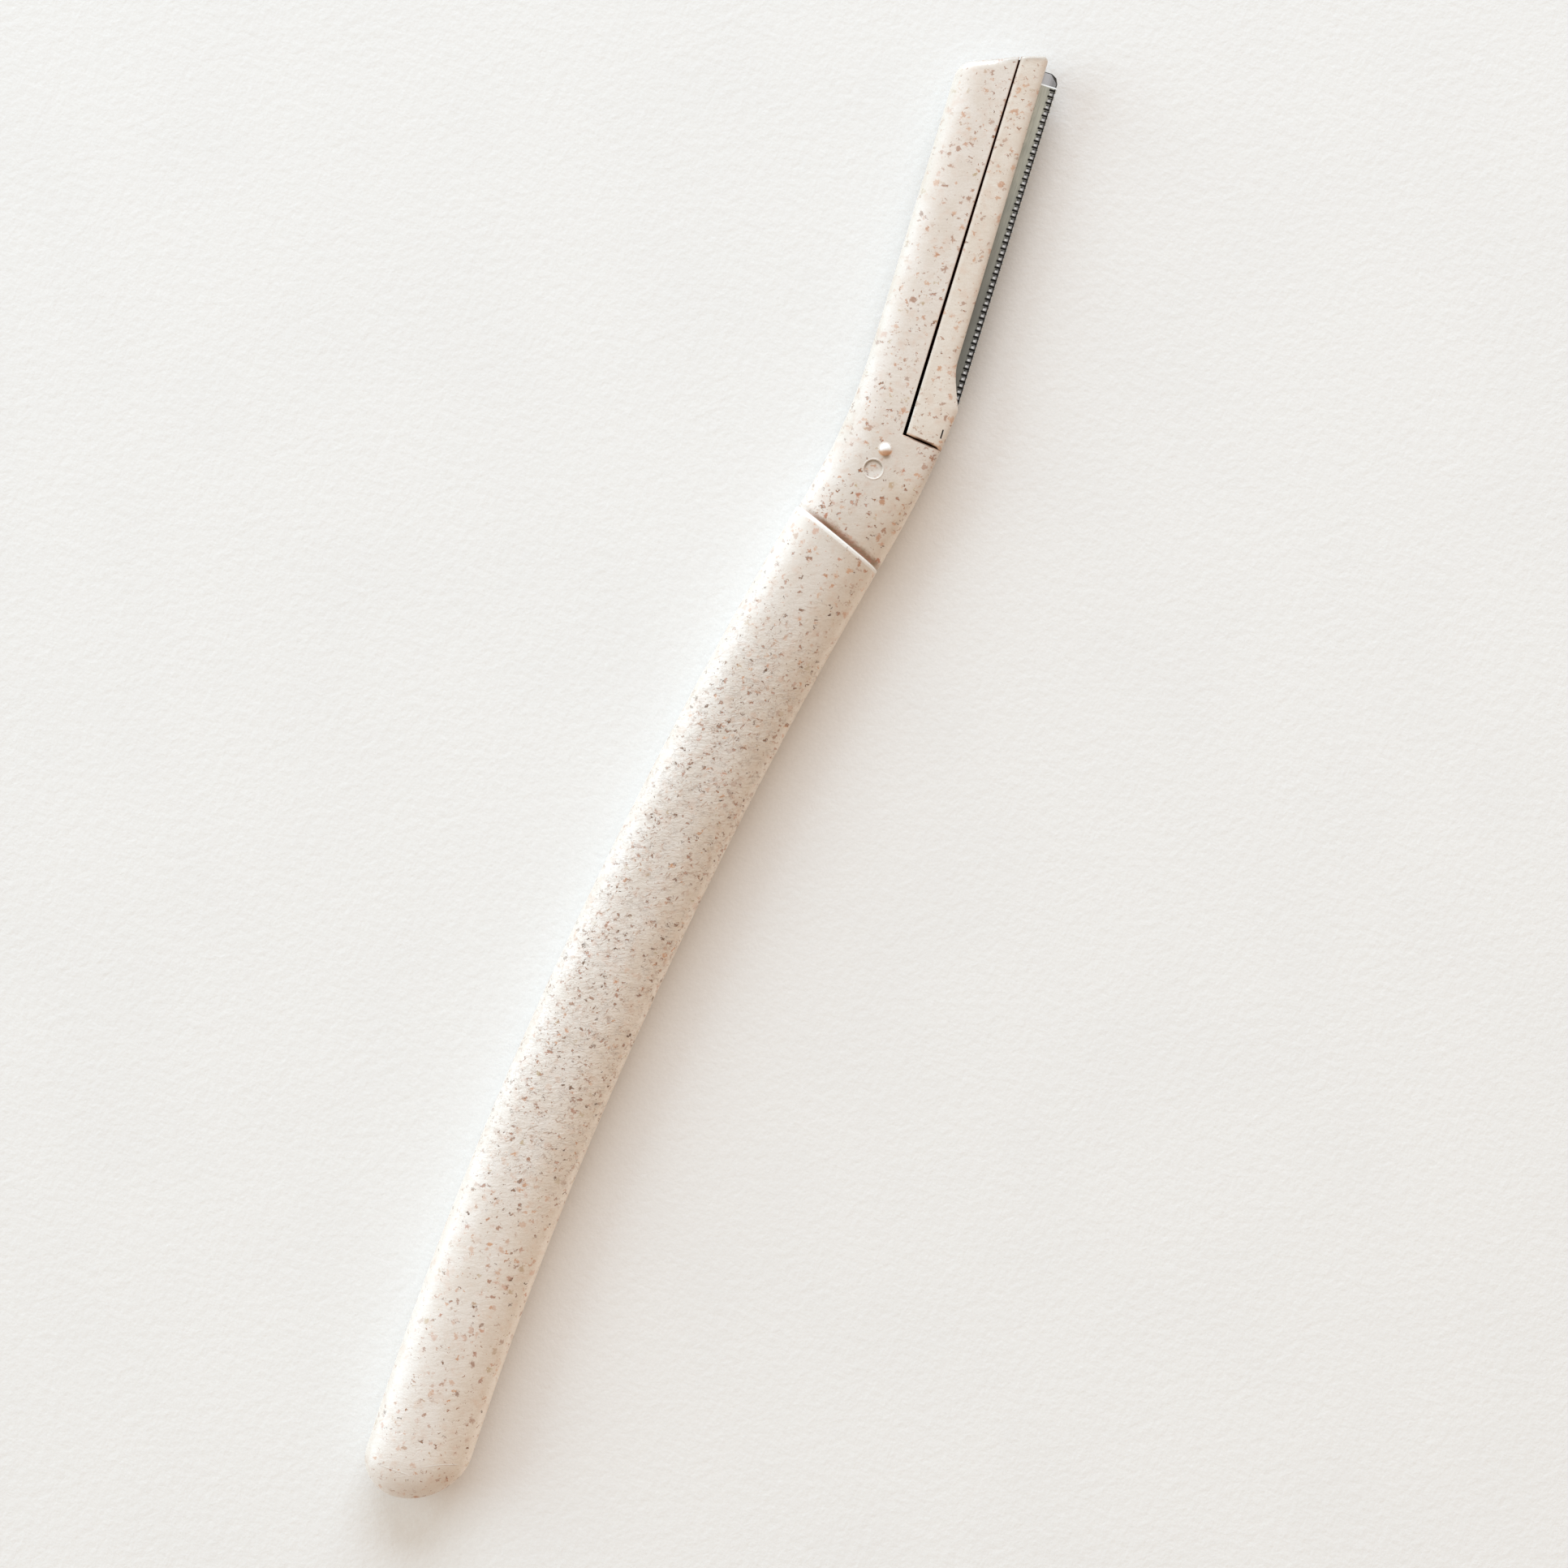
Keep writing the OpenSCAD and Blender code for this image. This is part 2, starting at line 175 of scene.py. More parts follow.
def edges(t):
    """The shell's edges at station t: 0 to 1 is the neck, to 2 the flare, to 3 the head, to 4 the tip."""
    t = np.asarray(t, float)[..., None]
    u = np.clip(t, 0, 1)
    left = bend(neck_left, seat_dir, from_head(spine_start), along, u)
    right = bend(neck_right, seat_dir, from_head(flare_corner), vec(0, 1), u)
    u = np.clip(t - 1, 0, 1)
    left_flare = spine_start + vec(0, flare_tall / 2) * u
    lead_low, lead_high = flare_lead_shares
    right_flare = bezier(flare_corner, flare_corner + vec(0, flare_tall * lead_low),
                         vec(cover_root_w, flare_low + flare_tall * lead_high), flare_top, u)
    u = np.clip(t - 2, 0, 1)
    left_side, right_side = lerp(left_start, left_end, u), lerp(flare_top, right_end, u)
    u = np.clip(t - 3, 0, 1)
    left_tip = left_end + vec(tip_r, 0) + tip_r * on_circle(math.pi - (math.pi / 2 - tip_angle) * u)
    right_tip = right_end - vec(tip_small_r, 0) + tip_small_r * on_circle((math.pi / 2 + tip_angle) * u)
    on_left = from_head(np.where(t < 2, left_flare, np.where(t < 3, left_side, left_tip)))
    on_right = from_head(np.where(t < 2, right_flare, np.where(t < 3, right_side, right_tip)))
    return np.where(t < 1, left, on_left), np.where(t < 1, right, on_right)


def between(left, mid, right, q):
    """From left at -1 through mid to right at 1."""
    q = q[..., None]
    return mid + np.where(q > 0, q * (right - mid), -q * (left - mid))


def plan(t, q):
    """The point of the shell's plan at station t, from -1 at the left edge to 1 at the right."""
    left, right = edges(t)
    return between(left, (left + right) / 2, right, q)


def round_off(q, power):
    return np.clip(1 - np.abs(q) ** power, 0, 1) ** (1 / power)


def tip_fade(p):
    """The share of its thickness that the head has left near the tip."""
    x, y = to_head(p)
    d = (head_len + (x - cover_tip_w) * tip_slope - y) * math.cos(tip_angle)
    # The edge is as round as the spine's up to x = -2.5 and as the cover's from x = 1
    power = lerp(spine_power, cover_power, smooth((x + 2.5) / 3.5))
    return round_off(np.clip(1 - d / tip_reach, 0, 1), power)


def rise(t, q, p):
    """Half the shell's thickness at a point of its plan."""
    half = lerp(neck_half, head_half, smooth(t))
    power = np.where(q > 0, lerp(handle_power, cover_power, smooth(t)),
                     lerp(handle_power, spine_power, np.clip(t, 0, 1)))
    return half * round_off(q, power) * tip_fade(p)


def slit_q(t, width0, width1):
    """Where a line beside the slit crosses station t."""
    left, right = edges(t)
    mx, my = to_head((left + right) / 2)
    rx, ry = to_head(right)
    c = (width1 - width0) / head_len
    return (width0 + c * my - mx) / ((rx - mx) - c * (ry - my))


halvings, last_station = 48, 4.0


def solve(columns, test):
    """For each column of columns(t), the station at which test(point) turns from below zero to above."""
    n = len(columns(np.array(0.5)))
    a, b = np.zeros(n), np.full(n, last_station)
    for _ in range(halvings):
        m = (a + b) / 2
        up = test(plan(m, columns(m))) > 0
        a, b = np.where(up, a, m), np.where(up, m, b)
    return (a + b) / 2


def height(p):
    """The shell's upper face over points of its plan."""
    a, b = np.zeros(p.shape[:-1]), np.full(p.shape[:-1], last_station)
    for _ in range(halvings):
        m = (a + b) / 2
        left, right = edges(m)
        w, v = right - left, p - left
        ahead = w[..., 0] * v[..., 1] - w[..., 1] * v[..., 0] > 0
        a, b = np.where(ahead, m, a), np.where(ahead, b, m)
    t = (a + b) / 2
    left, right = edges(t)
    mid = (left + right) / 2
    w = right - mid
    q = ((p - mid) * w).sum(-1) / (w * w).sum(-1)
    return mid_z + rise(t, np.clip(q, -1, 1), p)


# ---------------------------------------------------------------- home: the origin, mid outline
def butt_point(a, side):
    y = butt_y + butt_round * (1 - np.cos(a)) + side * butt_rise / 2 * np.sin(a)
    return np.stack([mid_x(y) + side * half_w * np.sin(a), y], -1)


left_all, right_all = edges(np.linspace(0, last_station, 4001))
butt_a = np.linspace(0, math.pi / 2, 400)
low_y = min(butt_point(butt_a, -1)[:, 1].min(), butt_point(butt_a, 1)[:, 1].min())
high_y = max(left_all[:, 1].max(), right_all[:, 1].max())
low_x = mid_x(bow_y) - half_w
home = vec(-(low_x + right_all[:, 0].max()) / 2, -(low_y + high_y) / 2)


def world(p, z):
    """Metres in the shared frame, kept inside the CAD model's box."""
    z = np.broadcast_to(z, p.shape[:-1])
    return np.clip(np.concatenate([(p + home), z[..., None]], -1) * 0.001, cad_box[0], cad_box[1])


def plan_mm(p):
    """The point of the plan, in mm, under a point of the shared frame in metres."""
    p = p * 1000
    return vec(p[0], p[1]) - home


# ---------------------------------------------------------------- mesh helpers
weld, sliver = 4e-7, 2e-7  # metres
upper_face = 0.003  # metres: only the upper face lies higher
sharp_from = math.radians(32)


def grid_mesh(rings, capped=False):
    """A tube through rings of equally many points; capped closes the first ring with a face."""
    n, m = rings.shape[:2]
    bm = bmesh.new()
    verts = [bm.verts.new(v) for v in rings.reshape(-1, 3)]
    for i in range(n - 1):
        for j in range(m):
            k = (j + 1) % m
            low, high = i * m, (i + 1) * m
            bm.faces.new([verts[low + j], verts[low + k], verts[high + k], verts[high + j]])
    if capped:
        bm.faces.new(verts[:m])
    bmesh.ops.remove_doubles(bm, verts=bm.verts, dist=weld)
    bmesh.ops.dissolve_degenerate(bm, edges=bm.edges, dist=sliver)
    bmesh.ops.recalc_face_normals(bm, faces=bm.faces)
    return bm


def refine(bm, near):
    """Cut the upper face finer where near(point of the plan) says."""
    faces = [f for f in bm.faces if f.normal.z > 0.5 and near(plan_mm(f.calc_center_median()))]
    picked = list({e for f in faces for e in f.edges})
    bmesh.ops.subdivide_edges(bm, edges=picked, cuts=7, use_grid_fill=True)


def finish_mesh(bm, name):
    mesh = bpy.data.meshes.new(name)
    bm.to_mesh(mesh)
    bm.free()
    mesh.polygons.foreach_set("use_smooth", [True] * len(mesh.polygons))
    mesh.set_sharp_from_angle(angle=sharp_from)
    obj = bpy.data.objects.new(name, mesh)
    bpy.context.scene.collection.objects.link(obj)
    return obj


# ---------------------------------------------------------------- body
# Its rings have K points in each quarter, and S more from the slit to the middle
K, S = 28, 5
quarter = np.arange(K) / K * math.pi / 2
slot_at = slice(2 * K, 3 * K)
slit_foot_t = float(solve(lambda t: slit_q(t, 0, 0) * np.ones(1), lambda p: p[..., 1] - neck_len)[0])
up_side = np.concatenate([-np.ones(2 * K), np.ones(2 * K + S)])


def body_q(t):
    """Round the ring: under the left half and the right, over the right half to the slit, over the left."""
    t = np.broadcast_to(np.asarray(t, float), (4 * K + S,))
    ts = np.maximum(t, slit_foot_t)
    qs = slit_q(ts, 0, 0) * np.where(t < slit_foot_t, smooth(t / slit_foot_t), 1)
    q = np.empty(4 * K + S)
    q[:K] = -np.cos(quarter)
    q[K:2 * K] = np.sin(quarter)
    f = np.arange(K) / K
    q[2 * K:3 * K] = np.sin(lerp(math.pi / 2, np.arcsin(qs[2 * K:3 * K]), f))
    q[3 * K:3 * K + S] = qs[3 * K:3 * K + S] * (1 - np.arange(S) / S)
    q[3 * K + S:] = -np.sin(quarter)
    return q


def body_ring(t):
    q = body_q(t)
    p = plan(t, q)
    return p, mid_z + up_side * rise(t, q, p)


def carved(p, z):
    """A station's ring beside the cover: its right half stops at the ledge and climbs the slit's wall."""
    p, z = p.copy(), z.copy()
    right, slit = p[2 * K], p[3 * K]
    low = lambda pt: np.maximum(floor_z, mid_z - head_half * tip_fade(pt))
    z[K:2 * K] = np.minimum(z[K:2 * K], low(p[K:2 * K]))
    ledge_n = K - 8  # and the last 8 points are on the wall
    f = np.clip(np.arange(K) / ledge_n, 0, 1)[:, None]
    top = max(z[3 * K] - slit_edge, float(low(slit)))
    p[slot_at] = lerp(right, slit, f)
    g = np.clip((np.arange(K) - ledge_n) / (K - 1 - ledge_n), 0, 1)
    z[slot_at] = lerp(low(p[slot_at]), top, g)
    share = slit_edge / np.linalg.norm(p[3 * K + 1] - p[3 * K])
    p[3 * K] = lerp(p[3 * K], p[3 * K + 1], min(1.0, share))
    return p, z


rings = []
plain_q = body_q(0.0)


def add(p, z):
    rings.append(world(p, z))


def add_handle(left, right, mid, half):
    add(between(left, mid, right, plain_q), mid_z + up_side * half * round_off(plain_q, handle_power))


def handle_ring(y):
    t = (y - butt_y - butt_round) / (handle_len - butt_round)
    r = lerp(-butt_rise, seat_rise, t) / 2
    return vec(mid_x(y + r) - half_w, y + r), vec(mid_x(y - r) + half_w, y - r), vec(mid_x(y), y)


def add_seat(up, inset_left, inset_right, half):
    add_handle(seat_left + vec(inset_left, 0) + up * seat_dir,
               seat_right - vec(inset_right, 0) + up * seat_dir, seat_mid + up * seat_dir, half)


# The butt, the handle and its rounded end
butt_mid = vec(mid_x(butt_y + butt_round), butt_y + butt_round)
for a in np.linspace(0, math.pi / 2, 29)[:-1]:
    add_handle(butt_point(a, -1), butt_point(a, 1), butt_mid, handle_t / 2)
for y in np.linspace(butt_y + butt_round, -seat_round, 170):
    add_handle(*handle_ring(y), handle_t / 2)
for a in np.radians([15, 30, 45, 60, 75, 90]):
    inset = seat_round * (1 - math.cos(a))
    add_seat(seat_round * (math.sin(a) - 1), inset, inset, handle_t / 2 - inset)

# The groove of the cap seat, 0.1 mm deeper than the CAD model's
groove_inset, groove_from = 0.1, 0.02
groove_low = neck_half - groove_d - 0.1
add_seat(0.012, seat_round, seat_round, groove_low + 0.05)
add_seat(0.03, seat_side, groove_inset, groove_low + 0.01)
for up in (0.08, 0.14, 0.2, 0.26, 0.32, 0.38, 0.44, groove_end - 0.02):
    half = lerp(groove_low, neck_half, smooth((up - groove_from) / (groove_end - groove_from)))
    add_seat(up, seat_side, groove_inset * (1 - smooth((up - 0.05) / 0.4)), half)

# The neck up to the cut at the cover's foot, then the head beside the cover and the tip
cut_t = solve(body_q, lambda p: p[..., 1] - neck_len)
pre_t = solve(body_q, lambda p: p[..., 1] - neck_len + slit_edge)
for f in np.linspace(0, 1, 45):
    add(*body_ring(pre_t * f))
p, z = body_ring(cut_t)
z[2 * K + 1:3 * K + 1] -= slit_edge
add(p, z)
for f in np.linspace(0, 1, 25):
    add(*carved(*body_ring(lerp(cut_t, np.ones_like(cut_t), f))))
for t in np.concatenate([np.linspace(1, 2, 21)[1:], np.linspace(2, 3, 71)[1:],
                         4 - np.linspace(1, 0, 37)[1:] ** 1.3]):
    add(*carved(*body_ring(np.full(4 * K + S, t))))

bm = grid_mesh(np.array(rings))

bump_at = vec(mid_x(0.0) + neck_shift - bump_d * 0.85, neck_len - foot_gap - bump_d * 1.5)
recess_at = bump_at - vec(recess_d * 0.17, recess_drop)

# The round recess has a slight lip, and is half as deep again as the CAD model's
recess_r, dip_soft, dip_h = recess_d / 2, 0.13, 1.5 * recess_depth
lip_from, lip_w, lip_h = 0.11, 0.06, 0.03
refine(bm, lambda p: np.linalg.norm(p - recess_at) < recess_r + 0.35)
for v in bm.verts:
    if v.co.z > upper_face:
        r = np.linalg.norm(plan_mm(v.co) - recess_at)
        if r < recess_d:
            dip = 1 - smooth((r - recess_r + 0.05) / dip_soft)
            lip = math.exp(-((r - recess_r - lip_from) / lip_w) ** 2)
            v.co.z += (lip_h * lip - dip_h * dip) * 0.001

# The bump is a small dome that runs out into the neck through a fillet
ball = (bump_d**2 / 4 + bump_h**2) / (2 * bump_h)
ball_rows, fillet_rows, ball_share = 14, 5, 0.985
fillet_w, fillet_h, sunk = 0.14, 0.075, 0.006
turns = np.arange(40) / 40 * 2 * math.pi
dome = []
for k in range(ball_rows + fillet_rows):
    if k < ball_rows:
        r = bump_d / 2 * math.sin(math.pi / 2 * k / ball_rows) * ball_share
        h = math.sqrt(ball * ball - r * r) - (ball - bump_h)
    else:
        f = (k - ball_rows + 1) / fillet_rows
        r = bump_d / 2 * ball_share + fillet_w * f
        h = fillet_h * (1 - f) ** 2 - sunk * (f == 1)
    p = bump_at + r * on_circle(turns[:, None])
    dome.append(world(p, height(p) + h))
dome_bm = grid_mesh(np.array(dome))
copies = {v: bm.verts.new(v.co) for v in dome_bm.verts}
for f in dome_bm.faces:
    bm.faces.new([copies[v] for v in f.verts])
dome_bm.free()
bmesh.ops.recalc_face_normals(bm, faces=bm.faces)
body = finish_mesh(bm, "razor_body")

# ---------------------------------------------------------------- blade cover
# Its rings have the slit's wall and T points over the top
T = 34


def cover_q(t):
    t = np.broadcast_to(np.asarray(t, float), (T + 1,))
    q = np.empty(T + 1)
    q[0] = slit_q(t[:1], slit_foot, slit_tip)[0]
    start = slit_q(t[1:], slit_foot + lip_r, slit_tip + lip_r)
    q[1:] = np.sin(lerp(np.arcsin(np.clip(start, -1, 1)), math.pi / 2, np.arange(T) / (T - 1)))
    return q


def cover_ring(t, under, drop=0.0, shut=False):
    """A ring from under up to the shell's face less drop; shut follows the tip's lower face."""
    q = cover_q(t)
    p = plan(t, q)
    z = mid_z + rise(t, q, p) - drop
    base = np.full(T + 1, under)
    if shut:
        base = np.maximum(base, mid_z - head_half * tip_fade(p))
    top_p, top_z = p[1:], np.maximum(z[1:], base[1:])
    top_z[-1] = base[-1]
    right, slit = p[-1], p[0]
    f = (np.arange(1, 7) / 7)[:, None]
    under_p, under_z = lerp(right, slit, f), lerp(base[-1], base[0], f[:, 0])
    lip = min(lip_r, max(z[0] - base[0], 0))
    wall_z = lerp(base[0], z[0] - lip, np.arange(5) / 4)
    wall_p = np.repeat(slit[None], 5, 0)
    a = np.radians([22.5, 45, 67.5])
    lip_p = lerp(slit, p[1], (1 - np.cos(a))[:, None])
    lip_z = z[0] - lip * (1 - np.sin(a))
    return world(np.concatenate([top_p, under_p, wall_p, lip_p]),
                 np.concatenate([top_z, under_z, wall_z, lip_z]))


def foot_line(p):
    """Millimetres above the cover's foot, whose gap narrows to 0.02 mm at its right end."""
    shut = (foot_gap - 0.02) * smooth((to_head(p)[0] - 3.35) / 0.35)
    return p[..., 1] - (neck_len + foot_gap) + shut


low_under, high_under = floor_z + lay_gap, mid_z + stack_half
near_tip, all_one = 2.8, np.ones(T + 1)  # beyond near_tip the rings turn to the blade's end
cover_rings = []
for a in np.radians([0, 30, 60, 90]):
    foot_t = solve(cover_q, lambda p: foot_line(p) - foot_lip * (1 - math.cos(a)))
    cover_rings.append(cover_ring(foot_t, low_under, foot_lip * (1 - math.sin(a))))
blade_from = solve(cover_q, lambda p: to_head(p)[1] - blade_foot + lay_gap)
for f in np.linspace(0, 1, 9)[1:]:
    cover_rings.append(cover_ring(lerp(foot_t, blade_from, f), low_under))
for f in np.linspace(0, 1, 15):
    cover_rings.append(cover_ring(lerp(blade_from, all_one, f), high_under))
for t in np.concatenate([np.linspace(1, 2, 25)[1:], np.linspace(2, near_tip, 50)[1:]]):
    cover_rings.append(cover_ring(t * all_one, high_under))
blade_to = solve(cover_q, lambda p: to_head(p)[1] - blade_top - lay_gap)
for f in np.linspace(0, 1, 21)[1:]:
    cover_rings.append(cover_ring(lerp(near_tip * all_one, blade_to, f), high_under))
for f in 1 - np.linspace(1, 0, 35) ** 1.3:
    cover_rings.append(cover_ring(lerp(blade_to, last_station * all_one, f), low_under, shut=True))
bm = grid_mesh(np.array(cover_rings), capped=True)

# The short mark is pressed in
mark_at = from_head(vec(mark_x, mark_y))
mark_half_w, mark_half_len, mark_soft, mark_depth = 0.03, 0.4, 0.05, 0.16


def from_mark(p):
    """How far a point of the plan lies from the mark's middle, across and along the head."""
    return abs((p - mark_at) @ across), abs((p - mark_at) @ along)


refine(bm, lambda p: from_mark(p)[0] < 0.3 and from_mark(p)[1] < 0.7)
for v in bm.verts:
    if v.co.z > upper_face:
        x, y = from_mark(plan_mm(v.co))
        if x < 0.3 and y < 0.8:
            in_width = 1 - smooth((x - mark_half_w) / mark_soft)
            in_length = 1 - smooth((y - mark_half_len) / mark_soft)
            v.co.z -= mark_depth * 0.001 * float(in_width * in_length)
cover = finish_mesh(bm, "razor_cover")


# ---------------------------------------------------------------- materials
class Graph:
    """The nodes of a material or world, with short calls to add them."""

    def __init__(self, owner):
        owner.use_nodes = True
        self.owner, self.tree = owner, owner.node_tree
        self.shader = next((n for n in self.tree.nodes if n.type == "BSDF_PRINCIPLED"), None)

    def put(self, socket, value):
        if isinstance(value, bpy.types.NodeSocket):
            self.tree.links.new(value, socket)
        else:
            socket.default_value = value

    def add(self, kind, inputs=None, **props):
        n = self.tree.nodes.new(kind)
        for k, v in props.items():
            setattr(n, k, v)
        for k, v in (inputs or {}).items():
            self.put(n.inputs[k], v)
        return n

    def math(self, op, a, b=0.0, clamp=False):
        return self.add("ShaderNodeMath", {0: a, 1: b}, operation=op, use_clamp=clamp).outputs[0]

    def mul(self, a, b):
        return self.math("MULTIPLY", a, b)

    def plus(self, a, b):
        return self.math("ADD", a, b)

    def minus(self, a, b):
        return self.math("SUBTRACT", a, b)

    def most(self, a, b):
        return self.math("MAXIMUM", a, b)

    def apart(self, a, b):
        return self.math("ABSOLUTE", self.minus(a, b))

    def length(self, x, y):
        return self.math("SQRT", self.plus(self.mul(x, x), self.mul(y, y)))

    def vmath(self, op, a, b):
        key = "Scale" if op == "SCALE" else 1
        return self.add("ShaderNodeVectorMath", {0: a, key: b}, operation=op).outputs[0]

    def xyz(self, vector):
        return self.add("ShaderNodeSeparateXYZ", {0: vector}).outputs

    def mix(self, fac, a, b, blend="MIX"):
        n = self.add("ShaderNodeMix", data_type="RGBA", blend_type=blend)
        for i, v in ((0, fac), (6, a), (7, b)):
            self.put(n.inputs[i], (*v, 1) if isinstance(v, tuple) and len(v) == 3 else v)
        return n.outputs[2]

    def tint(self, fac, color, shade):
        return self.mix(fac, color, shade, "MULTIPLY")

    def step(self, value, lo, hi, out0=0.0, out1=1.0):
        inputs = {"Value": value, "From Min": lo, "From Max": hi, "To Min": out0, "To Max": out1}
        return self.add("ShaderNodeMapRange", inputs, interpolation_type="SMOOTHSTEP").outputs[0]

    def fall(self, value, lo, hi, top=1.0):
        return self.step(value, lo, hi, top, 0.0)

    def band(self, value, lo, full, ebb, hi, top=1.0):
        """Rises from lo to full and falls from ebb to hi."""
        return self.mul(self.step(value, lo, full), self.fall(value, ebb, hi, top))

    def noise(self, coord, scale, detail, rough, output="Fac"):
        inputs = {"Vector": coord, "Scale": scale, "Detail": detail, "Roughness": rough}
        return self.add("ShaderNodeTexNoise", inputs).outputs[output]

    def palette(self, fac, stops):
        n = self.add("ShaderNodeValToRGB", {0: fac})
        ramp = n.color_ramp
        while len(ramp.elements) < len(stops):
            ramp.elements.new(0.5)
        for e, (pos, col) in zip(ramp.elements, stops):
            e.position, e.color = pos, (*col, 1)
        return n.outputs[0]

    def place(self, turn=0.0, stretch=(1.0, 1.0, 1.0), shift=(0.0, 0.0, 0.0)):
        """Object coordinates in mm, turned about the vertical and then stretched."""
        obj = self.add("ShaderNodeTexCoord").outputs["Object"]
        moved = self.vmath("SUBTRACT", self.vmath("SCALE", obj, 1000.0), shift)
        n = self.add("ShaderNodeMapping", {"Vector": moved, "Rotation": (0, 0, -math.radians(turn))})
        return self.vmath("MULTIPLY", n.outputs[0], stretch)

    def about(self, point, turn):
        """Millimetres from a point of the plan, turned about the vertical."""
        x, y = point + home
        return self.place(turn, shift=(float(x), float(y), 0.0))

    def specks(self, coord, scale, share, small, large, soft):
        """Grains in a share of the cells, their radius from small to large, as shares of a cell.

        Gives how much of a grain there is, and a random number for each one.
        """
        v = self.add("ShaderNodeTexVoronoi", {"Vector": coord, "Scale": scale}).outputs
        r, g, b = self.add("ShaderNodeSeparateColor", {0: v["Color"]}).outputs
        size = self.step(g, 0.0, 1.0, small, large)
        grain = self.fall(v["Distance"], self.mul(size, 1 - soft), size)
        return self.mul(grain, self.math("LESS_THAN", r, share)), b

    def bump(self, value, tall):
        """Raise the surface by a value times so many mm."""
        height = self.mul(value, tall * 0.001)
        n = self.add("ShaderNodeBump", {"Height": height, "Strength": 1.0, "Distance": 1.0})
        self.put(self.shader.inputs["Normal"], n.outputs[0])


def side_of_handle(g, x, y):
    """Millimetres to the right of the handle's middle line."""
    d = g.minus(y, float(home[1] + bow_y))
    bent = g.mul(g.math("LESS_THAN", d, 0.0), 0.5 / butt_bend_r - 0.5 / neck_bend_r)
    bent = g.plus(bent, 0.5 / neck_bend_r)
    return g.minus(g.minus(x, float(home[0])), g.mul(g.mul(d, d), bent))


def head_coords(g):
    """Millimetres across from the slit and up along it."""
    return g.about(head_at, blade_tilt)


def above_cut(g, x, y):
    """Millimetres above the lower edge of the cut at the cover's foot, from the head's coordinates."""
    return g.plus(y, g.mul(x, math.tan(tilt)))


def slot_lap(g, y):
    """From 0 to 1 over each slot and bar of the comb; the slot comes first."""
    return g.math("FRACT", g.math("DIVIDE", g.minus(y, comb_start), slot_pitch))


husk_colors = [(0.0, (0.54, 0.27, 0.18)), (0.22, (0.60, 0.30, 0.15)), (0.38, (0.52, 0.23, 0.11)),
               (0.52, (0.33, 0.145, 0.075)), (0.64, (0.50, 0.32, 0.24)), (0.76, (0.50, 0.38, 0.22)),
               (0.86, (0.46, 0.20, 0.12)), (1.0, (0.23, 0.105, 0.055))]
pit_colors = [(0.0, (0.48, 0.185, 0.095)), (0.30, (0.40, 0.145, 0.065)), (0.55, (0.29, 0.115, 0.045)),
              (0.8, (0.20, 0.085, 0.03)), (1.0, (0.12, 0.05, 0.018))]
cut_shade_color, fringe_color = (0.10, 0.032, 0.008), (0.40, 0.20, 0.11)
fringe_full, fringe_from = 0.42, (2.0, 12.0)
strand_turn = 23.0  # degrees: x runs level in the photo, as most straw lies
down_photo = -67.0  # degrees: x runs down the photo


